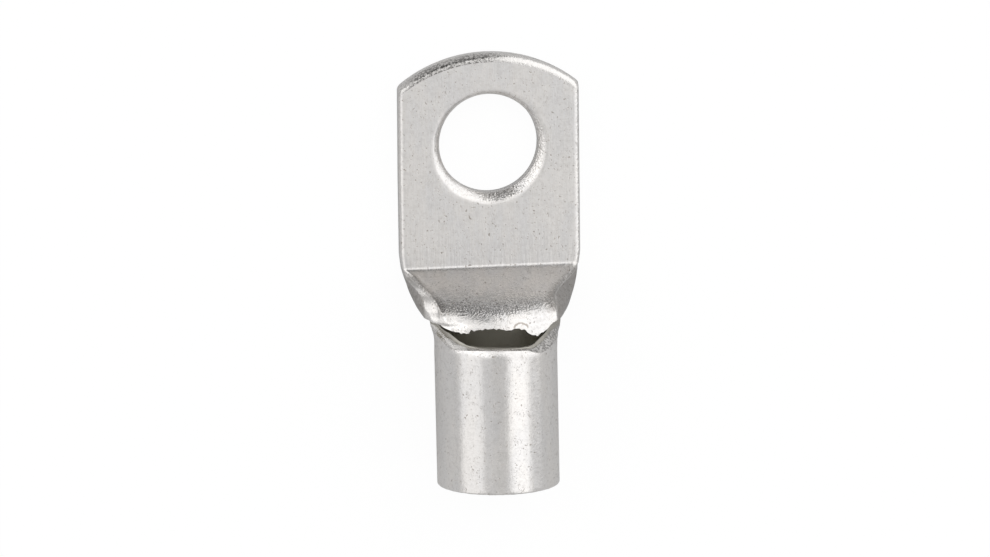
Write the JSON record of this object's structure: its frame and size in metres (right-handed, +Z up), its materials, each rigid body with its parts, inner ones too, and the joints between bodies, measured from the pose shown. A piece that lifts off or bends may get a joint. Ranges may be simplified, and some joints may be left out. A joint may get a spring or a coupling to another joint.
{
  "type": "tubular cable lug",
  "caption": "Tinned copper cable lug: a round barrel for a stranded conductor, pressed flat into a palm with a stud hole, with an inspection mouth between them.",
  "frame": {"origin": "centre of the stud hole on the palm's back face", "axes": "+Z up out of the palm's front, +Y along the lug from the barrel's open end to the palm's rounded end"},
  "size_m": [0.0154, 0.0363, 0.0104],
  "materials": {
    "tin_plate": "bright tin plate on copper, satin, finely scratched"
  },
  "bodies": {
    "root": {"lug": "tin_plate"}
  },
  "joints": []
}
